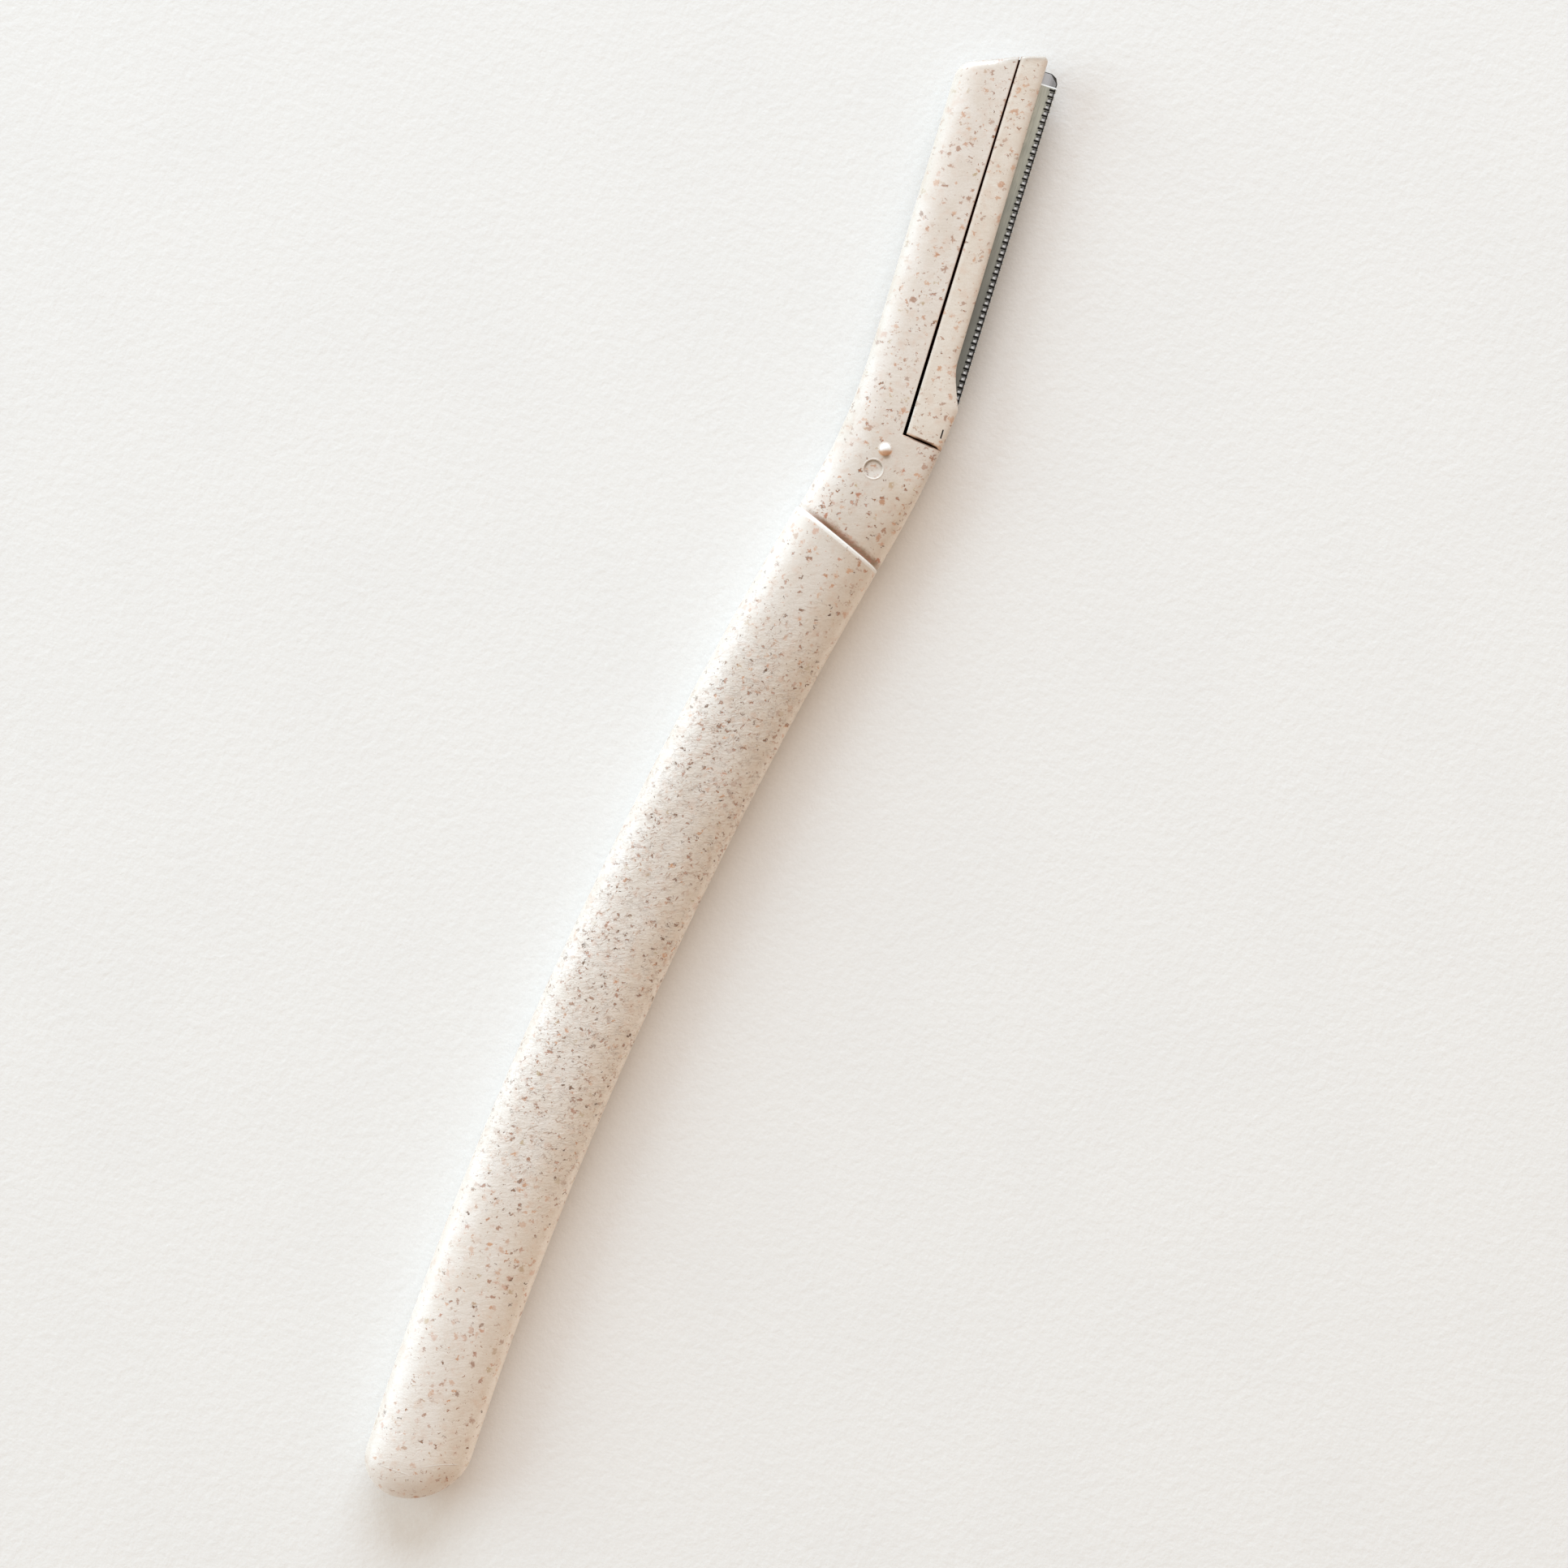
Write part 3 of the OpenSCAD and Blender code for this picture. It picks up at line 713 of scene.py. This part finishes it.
def plastic(name, seed, base):
    """Moulded plastic filled with ground straw: pale and mottled, with husks, fibres and shallow pits."""
    g = Graph(bpy.data.materials.new(name))
    mm = g.place(shift=(seed, seed * 1.7, seed * 0.6))
    x, y, _ = g.xyz(g.place())
    off = side_of_handle(g, x, y)
    spine, up, _ = g.xyz(head_coords(g))
    tone = lambda r, gr, bl: (base[0] * r, base[1] * gr, base[2] * bl)

    def shake(scale, detail, far):
        color = g.noise(mm, scale, detail, 0.7, "Color")
        return g.vmath("SCALE", g.vmath("SUBTRACT", color, (0.5, 0.5, 0.5)), far)

    wobble = shake(2.0, 4, 1.3)
    warped = g.vmath("ADD", mm, wobble)
    laid = g.vmath("ADD", g.place(strand_turn, shift=(seed, 0.0, 0.0)), wobble)
    laid_at = lambda stretch, shift: g.vmath("ADD", g.vmath("MULTIPLY", laid, stretch), shift)

    # Zones along the razor: the handle's low, middle and high parts, and the head
    low, high = g.fall(y, -50.0, -36.0), g.step(y, 6.0, 26.0)
    middle = g.math("SUBTRACT", 1.0, g.plus(low, high), clamp=True)
    neck = g.band(y, -16.0, 6.0, 36.0, 44.0)
    handle = g.fall(y, 31.0, 36.0)
    on_head = g.minus(1.0, handle)
    by_part = lambda a, b: g.plus(g.mul(handle, a), g.mul(on_head, b))
    # Specks are faint on the left slopes, as part of the painted sheen there
    faint = by_part(g.step(off, -4.6, -2.4, 0.50, 1.0), g.step(spine, -5.0, -3.2, 0.50, 1.0))

    def grains(coord, scale, share, small, large, soft, weakest):
        """One kind of speck: its grains, how strong each is, and its random number."""
        whole, pick = g.specks(coord, scale, share, small, large, soft)
        whole = g.mul(whole, faint)
        return whole, g.mul(whole, g.step(pick, 0.0, 1.0, weakest, 1.0)), pick

    clouds = g.noise(mm, 0.35, 4, 0.6)
    color = g.mix(g.step(clouds, 0.36, 0.66), tone(1.03, 1.035, 1.045), tone(0.975, 0.955, 0.935))
    blush = g.noise(g.vmath("ADD", mm, (7.0, 3.0, 1.0)), 0.95, 3, 0.55)
    color = g.mix(g.step(blush, 0.5, 0.74, 0.0, 0.75), color, tone(0.95, 0.85, 0.80))
    mottle = g.noise(mm, 6.0, 2, 0.6)
    color = g.mix(g.step(mottle, 0.35, 0.75, 0.0, 0.30), color, tone(0.84, 0.79, 0.74))
    # The upper handle and the neck are a little greyer, but not their left slope
    near_left, far_left = g.step(off, -4.4, -1.6), g.step(spine, -5.2, -2.8)
    turned = g.plus(near_left, g.mul(g.step(y, 33.0, 38.0), g.minus(far_left, near_left)))
    greyer_upper = g.mul(g.step(y, -34.0, 12.0, 0.0, 0.72), g.step(y, 33.0, 42.0, 1.0, 0.22))
    greyer_upper = g.plus(greyer_upper, g.mul(g.step(y, 20.0, 27.0, 0.0, 0.28), g.fall(y, 32.0, 38.0)))
    greyer_upper = g.mul(greyer_upper, g.plus(0.15, g.mul(turned, 0.85)))
    color = g.tint(greyer_upper, color, (0.87, 0.855, 0.835))
    # The handle's right half is painted yellower: the warm tone of painted shade on the side away from the
    # lamps
    color = g.tint(g.mul(handle, g.step(off, 0.2, 2.8)), color, (1.0, 0.97, 0.925))

    # Large soft husks, seen most on the head and the neck
    coord = g.vmath("MULTIPLY", warped, (1.0, 0.8, 0.7))
    _, amount, pick = grains(coord, 1.25, 0.72, 0.12, 0.42, 0.5, 0.58)
    zone = g.plus(0.40, g.plus(g.mul(high, 0.60), g.mul(low, 0.36)))
    color = g.mix(g.mul(amount, zone), color, g.palette(pick, husk_colors))
    # Middling ones, stretched
    coord = laid_at((0.7, 1.1, 0.8), (3.0, 9.0, 5.0))
    _, amount, pick = grains(coord, 1.8, 0.52, 0.14, 0.40, 0.4, 0.50)
    zone = g.step(y, 22.0, 32.0, 0.88, 0.76)
    again = g.math("FRACT", g.mul(pick, 3.7))
    color = g.mix(g.mul(amount, zone), color, g.palette(again, husk_colors))
    # Dark grains with a pit at each, thick in the middle of the handle
    crowd = g.step(g.noise(mm, 0.5, 2, 0.5), 0.38, 0.62, 0.30, 1.0)
    thick = g.mul(g.most(middle, g.mul(neck, 0.40)), crowd)
    coord = laid_at((0.75, 1.2, 0.8), (11.0, 2.0, 8.0))
    share = g.plus(g.mul(thick, 0.72), g.plus(0.06, g.mul(low, 0.08)))
    pits, amount, pick = grains(coord, 1.9, share, 0.12, 0.37, 0.28, 0.66)
    pick = g.mul(pick, g.step(y, 22.0, 30.0, 1.0, 0.60))
    color = g.mix(amount, color, g.palette(pick, pit_colors))
    # Fine dark specks
    coord = laid_at((0.8, 1.2, 0.8), (5.0, 12.0, 3.0))
    share = g.plus(g.mul(thick, 0.18), 0.12)
    _, amount, _ = grains(coord, 3.4, share, 0.18, 0.42, 0.35, 0.5)
    color = g.mix(amount, color, (0.33, 0.145, 0.07))
    # Thin fibres, lying askew
    fibres = 0.0
    for turn, shift, share in ((50.0, 4.0, 0.45), (74.0, 17.0, 0.35), (22.0, 29.0, 0.40)):
        bent = g.vmath("ADD", g.place(turn, (0.75, 3.4, 1.4), (shift, seed, 0.0)), shake(0.8, 2, 2.4))
        amount, _ = g.specks(bent, 1.0, share, 0.12, 0.30, 0.6)
        fibres = g.most(amount, fibres)
    zone = g.mul(faint, g.plus(g.mul(middle, 0.46), 0.08))
    color = g.mix(g.mul(fibres, zone), color, (0.40, 0.21, 0.12))

    # Painted light on the rims, specks and all: a bluish painted sheen on the left slopes and a painted rim
    # light along the handle's right edge; painted shade dulls the spine's far edge and the tip's bevel
    left = by_part(g.band(off, -4.8, -3.9, -3.8, -0.8), g.band(spine, -5.2, -4.3, -4.2, -2.4))
    color = g.tint(left, color, (1.065, 1.08, 1.105))
    color = g.tint(g.mul(handle, g.step(off, 2.8, 4.3)), color, (1.08, 1.08, 1.07))
    color = g.tint(g.mul(handle, g.step(off, 4.1, 4.75)), color, (1.18, 1.22, 1.27))
    color = g.tint(g.mul(on_head, g.fall(spine, -5.1, -4.5)), color, (0.93, 0.925, 0.915))
    below_tip = g.minus(head_len - cover_tip_w * tip_slope, g.minus(up, g.mul(spine, tip_slope)))
    color = g.tint(g.mul(on_head, g.fall(below_tip, 0.15, 0.75)), color, (0.70, 0.69, 0.675))

    rough = g.step(g.noise(mm, 2.6, 4, 0.65), 0.3, 0.7, 0.38, 0.48)
    g.shader.inputs["Specular IOR Level"].default_value = 0.6

    # Relief: broad waves, strands pressed in across the handle with sharp creases, and fine tooth
    waves = g.noise(mm, 0.45, 3, 0.5)
    fine = g.noise(g.vmath("MULTIPLY", laid, (0.7, 1.0, 1.0)), 3.4, 3, 0.65)
    pressed = g.place(strand_turn, (0.85, 2.9, 2.0), (seed, 0.0, 0.0))
    strands = g.noise(g.vmath("ADD", pressed, shake(0.6, 2, 3.2)), 1.0, 3, 0.62)
    crease = g.fall(g.apart(strands, 0.5), 0.0, 0.035)
    crease = g.mul(g.mul(crease, g.step(g.noise(mm, 1.1, 2, 0.5), 0.45, 0.6)), faint)
    # The creases are painted darker: painted shade in them
    color = g.mix(g.mul(crease, g.mul(middle, 0.42)), color, tone(0.64, 0.45, 0.33))
    rugged = g.plus(0.20, g.plus(g.mul(middle, 0.78), g.mul(low, 0.25)))
    rugged = g.mul(rugged, g.plus(0.20, g.mul(faint, 0.80)))
    tooth = g.plus(g.mul(fine, 0.046), g.mul(strands, 0.095))
    marks = g.plus(g.mul(crease, 0.020), g.mul(fibres, 0.012))
    relief = g.plus(g.mul(waves, 0.05), g.mul(rugged, tooth))
    cut = g.plus(g.mul(pits, 0.045), g.mul(middle, marks))
    g.bump(g.minus(relief, cut), 1.0)
    return g, color, rough


def paint(g, color, rough, inside, grime_and_shade):
    """Finish a plastic, with dark grime and painted shade out of reach; this dark paint is metallic, so it
    has no white sheen.
    """
    g.put(g.shader.inputs["Base Color"], g.mix(inside, color, grime_and_shade))
    g.put(g.shader.inputs["Metallic"], inside)
    dulled = g.add("ShaderNodeMapRange", {"Value": inside, "To Min": rough, "To Max": 1.0})
    g.put(g.shader.inputs["Roughness"], dulled.outputs[0])
    return g.owner


def slit_grime_and_shade(g, x, y):
    """Painted shade, with grime, in the slit and the cut: the slit is near black at its foot and browner
    towards the tip; the cut is rusty at its ends.
    """
    along_slit = g.mix(g.step(y, 0.0, 14.0), (0.008, 0.001, 0.0), (0.085, 0.012, 0.001))
    along_slit = g.mix(g.step(y, 12.0, 38.0), along_slit, (0.18, 0.032, 0.002))
    ends = g.step(g.apart(x, 2.2), 0.4, 1.2)
    across_foot = g.mix(ends, (0.026, 0.006, 0.001), (0.20, 0.075, 0.018))
    return g.mix(g.mul(g.fall(y, 0.25, 0.4), g.step(x, 0.2, 0.5)), along_slit, across_foot)


def body_plastic():
    g, color, rough = plastic("straw_plastic", 0.0, (0.768, 0.697, 0.632))
    x, y, z = g.xyz(head_coords(g))
    above = above_cut(g, x, y)
    # The slit and the cut get painted shade, with grime, in paint()
    slit = g.mul(g.band(x, -0.03, -0.005, 0.45, 0.60), g.step(y, -0.10, -0.05))
    cut = g.mul(g.band(above, -0.04, -0.01, 0.26, 0.34), g.step(x, -0.03, 0.0))
    inside = g.mul(g.most(slit, cut), g.band(z, 1.95, 2.05, 3.88, 3.95))
    # The groove of the cap seat: a pale painted highlight on the edge before it, and after it a ragged
    # brown band that is partly painted shade of the groove and partly stain
    turn = math.degrees(math.atan2(seat_right[0] - seat_left[0], seat_left[1] - seat_right[1])) - 90
    seat = g.about(seat_mid, turn)
    side, past, _ = g.xyz(seat)
    color = g.mix(g.band(past, -0.50, -0.32, -0.03, 0.0, 0.8), color, (0.89, 0.865, 0.825))
    ragged = g.mul(g.noise(seat, 1.6, 4, 0.7), 1.1)
    stain_and_shade = g.mul(g.step(past, 0.0, 0.03), g.fall(g.plus(past, ragged), 0.78, 1.45))
    stain_and_shade = g.mul(stain_and_shade, g.mul(g.step(side, -4.4, -1.2, 0.12, 0.92), g.step(side, 4.2, 4.9, 1.0, 0.4)))
    patches = g.step(g.noise(seat, 2.4, 2, 0.5), 0.35, 0.65)
    color = g.mix(stain_and_shade, color, g.mix(patches, (0.36, 0.165, 0.10), (0.27, 0.16, 0.085)))
    # The bump's top is painted bright, a painted highlight; painted shade, with dust, lies at its lower
    # foot, and a painted shadow below it
    down, right, _ = g.xyz(g.about(bump_at, down_photo))
    reach = g.length(down, right)
    color = g.mix(g.fall(reach, bump_d * 0.42, bump_d * 0.52, 0.9), color, (0.94, 0.925, 0.90))
    dust_and_shade = g.mul(g.step(down, 0.0, bump_d * 0.28), g.fall(reach, bump_d * 0.54, bump_d * 0.66, 0.85))
    color = g.mix(dust_and_shade, color, (0.66, 0.34, 0.17))
    down, right = g.minus(down, bump_d * 0.60), g.minus(right, bump_d * 0.10)
    painted_bump_shadow = g.math("SQRT", g.plus(g.mul(down, down), g.mul(g.mul(right, right), 0.5)))
    painted_bump_shadow = g.mul(g.fall(painted_bump_shadow, 0.08, 0.36, 0.75), g.step(reach, bump_d * 0.50, bump_d * 0.56))
    color = g.mix(painted_bump_shadow, color, (0.30, 0.19, 0.11))
    # The round recess has painted shade along its upper wall and a painted highlight below
    recess = g.about(recess_at, down_photo)
    down, right, _ = g.xyz(recess)
    ring = g.length(down, right)
    ragged = g.plus(ring, g.mul(g.noise(recess, 2.2, 3, 0.6), 0.4))
    wall = g.fall(ring, recess_d * 0.5, recess_d * 0.54)
    painted_recess_shade = g.mul(g.step(ragged, recess_d * 0.5, recess_d * 0.62), wall)
    painted_recess_shade = g.mul(painted_recess_shade, g.fall(down, -0.45, 0.05, 0.75))
    color = g.mix(painted_recess_shade, color, (0.30, 0.235, 0.17))
    painted_recess_light = g.mul(g.step(down, -0.1, 0.4, 0.0, 0.4), g.fall(ring, recess_d * 0.44, recess_d * 0.50))
    color = g.mix(painted_recess_light, color, (0.88, 0.86, 0.83))
    # Two hairlines in the skin near the butt, each a pale painted highlight with a dark painted shadow
    # below
    wx, wy, _ = g.xyz(g.place())
    for x0, y0, x1, y1, sag in ((-4.1, -72.35, -1.0, -72.05, 0.02), (-0.1, -70.85, 3.0, -69.5, 0.2)):
        f = g.math("DIVIDE", g.minus(wx, x0), x1 - x0)
        arch = g.mul(g.mul(f, g.minus(1.0, f)), 4 * sag)
        miss = g.minus(wy, g.plus(g.plus(y0, g.mul(f, y1 - y0)), arch))
        ends = g.band(f, 0.0, 0.15, 0.85, 1.0)
        for centre, full, shade in ((0.03, 0.6, (0.92, 0.90, 0.87)), (-0.07, 0.30, (0.45, 0.33, 0.25))):
            line = g.fall(g.apart(miss, centre), 0.02, 0.08, full)
            color = g.mix(g.mul(line, ends), color, shade)
    # A brown fringe along the slit; along the cut, rusty dust that is partly painted shade, and near black
    # painted shade
    inner = g.mul(g.fall(x, 0.1, 0.2), g.step(y, *fringe_from))
    fringe = g.mul(g.step(x, -0.15, -0.03, 0.0, fringe_full), inner)
    color = g.mix(fringe, color, fringe_color)
    dust_and_shade = g.mul(g.fall(g.math("ABSOLUTE", above), 0.05, 0.16, 0.55), g.band(x, -0.2, 0.3, 3.4, 3.9))
    color = g.mix(dust_and_shade, color, (0.52, 0.27, 0.14))
    painted_cut_shade = g.mul(g.step(above, -0.15, -0.03), g.band(x, 0.5, 1.3, 2.9, 3.6))
    color = g.mix(g.mul(painted_cut_shade, g.fall(above, 0.30, 0.40, 0.9)), color, cut_shade_color)
    return paint(g, color, rough, inside, slit_grime_and_shade(g, x, y))


def cover_plastic():
    g, color, rough = plastic("cover_plastic", 23.0, (0.775, 0.698, 0.618))
    x, y, z = g.xyz(head_coords(g))
    above = above_cut(g, x, y)
    # The slit, the cut and the pressed mark get painted shade, with grime, in paint()
    slit = g.mul(g.fall(x, 0.32, 0.45), g.fall(z, 3.72, 3.82))
    cut = g.mul(g.mul(g.fall(above, 0.24, 0.32), g.fall(x, 3.3, 3.7)), g.fall(z, 3.86, 3.93))
    mark = g.mul(g.fall(g.apart(x, mark_x), 0.04, 0.09), g.fall(g.apart(y, mark_y), 0.40, 0.46, 0.9))
    inside = g.most(g.most(slit, cut), mark)
    # Along the cut, rust that is partly painted shade, and near black painted shade
    color = g.mix(g.fall(above, 0.24, 0.44, 0.65), color, (0.55, 0.28, 0.13))
    painted_cut_shade = g.mul(g.fall(above, 0.28, 0.38, 0.9), g.band(x, 0.9, 1.6, 2.7, 3.3))
    color = g.mix(painted_cut_shade, color, cut_shade_color)
    # The edge along the slit carries a pale painted highlight, with a brown fringe
    lip = g.plus(g.minus(x, slit_foot), g.mul(y, (slit_foot - slit_tip) / head_len))
    color = g.mix(g.band(lip, 0.08, 0.22, 0.24, 0.42, 0.26), color, (0.91, 0.855, 0.785))
    fringe = g.mul(g.fall(lip, 0.02, 0.12, fringe_full), g.step(y, *fringe_from))
    color = g.mix(fringe, color, fringe_color)
    return paint(g, color, rough, inside, slit_grime_and_shade(g, x, y))


def steel(g, color, rough, streaks):
    g.put(g.shader.inputs["Base Color"], color)
    g.shader.inputs["Metallic"].default_value = 1.0
    g.put(g.shader.inputs["Roughness"], rough)
    g.bump(streaks, 0.003)
    return g.owner


def blade_steel():
    g = Graph(bpy.data.materials.new("blade_steel"))
    coord = head_coords(g)
    x, y, _ = g.xyz(coord)
    streaks = g.noise(g.vmath("MULTIPLY", coord, (9.0, 0.35, 1.0)), 1.0, 4, 0.6)
    ground = g.noise(g.vmath("MULTIPLY", coord, (0.8, 14.0, 1.0)), 1.0, 3, 0.6)
    flat = g.mix(g.step(x, 2.9, 4.1), (0.46, 0.44, 0.435), (0.22, 0.205, 0.20))
    flat = g.mix(g.step(streaks, 0.3, 0.7, 0.0, 0.35), flat, (0.52, 0.50, 0.50))
    honed = g.mix(g.step(ground, 0.3, 0.7), (0.20, 0.19, 0.185), (0.34, 0.33, 0.325))
    color = g.mix(g.step(x, 3.70, 3.74), flat, honed)
    # In each gap of the comb the honed face has a painted highlight at the lower end and a painted shadow
    # of the bar at the upper
    lap = slot_lap(g, y)
    combed = g.fall(y, comb_end, comb_end + 0.2)
    shade = g.mul(g.step(lap, 0.34, 0.44), g.fall(x, 3.86, 3.96, 0.9))
    color = g.mix(g.mul(shade, combed), color, (0.03, 0.027, 0.025))
    glint = g.mul(g.band(lap, 0.0, 0.06, 0.24, 0.44), g.band(x, 3.74, 3.80, 3.94, 4.08))
    color = g.mix(g.mul(glint, combed), color, (0.60, 0.58, 0.56))
    # Dark lines along the edge, the end and its cut corner
    color = g.mix(g.step(x, 4.08, 4.14), color, (0.035, 0.030, 0.027))
    corner = edge_at + blade_top
    top = g.most(g.step(y, blade_top - 0.12, blade_top - 0.04),
                 g.step(g.plus(x, y), corner - 0.95, corner - 0.87))
    color = g.mix(top, color, (0.05, 0.045, 0.04))
    return steel(g, color, g.step(streaks, 0.2, 0.8, 0.30, 0.44), streaks)


def guard_steel():
    g = Graph(bpy.data.materials.new("guard_steel"))
    coord = head_coords(g)
    x, y, _ = g.xyz(coord)
    streaks = g.noise(g.vmath("MULTIPLY", coord, (7.0, 0.5, 1.0)), 1.0, 4, 0.6)
    blotch = g.noise(coord, 0.35, 3, 0.6)
    color = g.mix(g.step(y, 10.0, 36.0), (0.168, 0.156, 0.132), (0.50, 0.465, 0.375))
    color = g.mix(g.step(blotch, 0.35, 0.7, 0.0, 0.35), color, (0.27, 0.265, 0.225))
    color = g.mix(g.step(streaks, 0.3, 0.75, 0.0, 0.35), color, (0.12, 0.115, 0.10))
    # The bars are painted dark, a painted dark reflection, and so is the outer line; the fold's edge is
    # bright, and the plain end is pale, a painted highlight
    bar_middle = (1 + slot_w / slot_pitch) / 2
    bar = g.step(g.apart(slot_lap(g, y), bar_middle), 0.12, 0.19, 1.0, 0.25)
    bar = g.mul(g.most(bar, g.mul(g.step(x, 4.06, 4.12), 0.9)), g.step(x, 3.58, 3.68))
    edge = g.step(x, 4.20, 4.27)
    color = g.mix(g.mul(bar, g.minus(1.0, edge)), color, (0.014, 0.012, 0.011))
    color = g.mix(g.mul(edge, 0.8), color, (0.58, 0.555, 0.52))
    color = g.mix(g.step(y, comb_end + 0.22, comb_end + 0.30), color, (0.85, 0.84, 0.82))
    return steel(g, color, g.step(blotch, 0.2, 0.8, 0.36, 0.5), streaks)


def paper():
    g = Graph(bpy.data.materials.new("paper"))
    mm = g.place()
    fibre = g.noise(mm, 1.1, 5, 0.62)
    cloud = g.noise(mm, 0.06, 3, 0.5)
    tooth = g.noise(mm, 3.4, 2, 0.6)
    color = g.mix(g.step(fibre, 0.3, 0.75, 0.0, 0.5), (0.915, 0.908, 0.898), (0.890, 0.881, 0.870))
    color = g.mix(g.step(cloud, 0.4, 0.7, 0.0, 0.4), color, (0.872, 0.865, 0.858))
    color = g.mix(g.step(tooth, 0.3, 0.7, 0.0, 0.5), color, (0.865, 0.858, 0.850))
    g.put(g.shader.inputs["Base Color"], color)
    g.shader.inputs["Roughness"].default_value = 0.9
    g.shader.inputs["Specular IOR Level"].default_value = 0.15
    g.bump(fibre, 0.06)
    return g.owner


def dress(obj, mat):
    if obj.material_slots:
        for s in obj.material_slots:
            s.material = mat
    else:
        obj.data.materials.append(mat)


for obj, node, mat, slot in ((body, "handle_body", body_plastic(), "straw_plastic"),
                             (cover, "blade_cover", cover_plastic(), "cover_plastic")):
    dress(obj, mat)
    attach(obj, "root")
    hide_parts(node)
dress(frame["nodes"]["blade"], blade_steel())
dress(frame["nodes"]["comb_guard"], guard_steel())

# ---------------------------------------------------------------- floor, light, camera
mesh = bpy.data.meshes.new("floor")
mesh.from_pydata([(-3, -3, 0), (3, -3, 0), (3, 3, 0), (-3, 3, 0)], [], [(0, 1, 2, 3)])
ground = bpy.data.objects.new("floor", mesh)
bpy.context.scene.collection.objects.link(ground)
ground.location.z = -0.00002
ground.data.materials.append(paper())

# The warm fill lights what is matt; the camera, and what shines, sees white
fill = (0.616, 0.507, 0.409)
sky = Graph(bpy.data.worlds.new("studio"))
bpy.context.scene.world = sky.owner
back = sky.tree.nodes["Background"]
back.inputs["Color"].default_value = (*fill, 1)
back.inputs["Strength"].default_value = 1.0
white = sky.add("ShaderNodeBackground", {"Color": (1, 1, 1, 1), "Strength": 1.0})
ray = sky.add("ShaderNodeLightPath").outputs
seen = sky.most(sky.most(ray["Is Camera Ray"], ray["Is Glossy Ray"]), ray["Is Transmission Ray"])
blend = sky.add("ShaderNodeMixShader", {0: seen, 1: back.outputs[0], 2: white.outputs[0]})
sky.put(sky.tree.nodes["World Output"].inputs["Surface"], blend.outputs[0])


def window(name, azimuth, share):
    """A tall soft window, low over the table; share is what it adds to a level surface."""
    width, tall, distance, elevation = 1.5, 1.1, 1.7, math.radians(18)
    azimuth = math.radians(azimuth)
    lamp = bpy.data.lights.new(name, "AREA")
    lamp.shape, lamp.size, lamp.size_y = "RECTANGLE", width, tall
    peak = max(share)
    lamp.color = tuple(c / peak for c in share)
    lamp.energy = peak * math.pi**2 * distance**2 / math.sin(elevation)
    obj = bpy.data.objects.new(name, lamp)
    bpy.context.scene.collection.objects.link(obj)
    level = math.cos(elevation)
    to = Vector((math.cos(azimuth) * level, math.sin(azimuth) * level, math.sin(elevation)))
    obj.location = to * distance
    obj.rotation_mode = "QUATERNION"
    obj.rotation_quaternion = to.to_track_quat("Z", "Y")
    obj.visible_camera = False


window("window_end", 110, (0.284, 0.352, 0.412))
window("window_side", 190, (0.133, 0.184, 0.213))

cam = bpy.data.cameras.new("camera")
cam.lens, cam.sensor_width = 67.5, 36.0
cam.clip_start, cam.clip_end = 0.01, 20.0
camera = bpy.data.objects.new("camera", cam)
bpy.context.scene.collection.objects.link(camera)
camera.location = (0.00605, 0.00186, 0.28235)
camera.rotation_euler = (0, 0, math.radians(23))
bpy.context.scene.camera = camera
bpy.context.scene.view_settings.view_transform = "Standard"
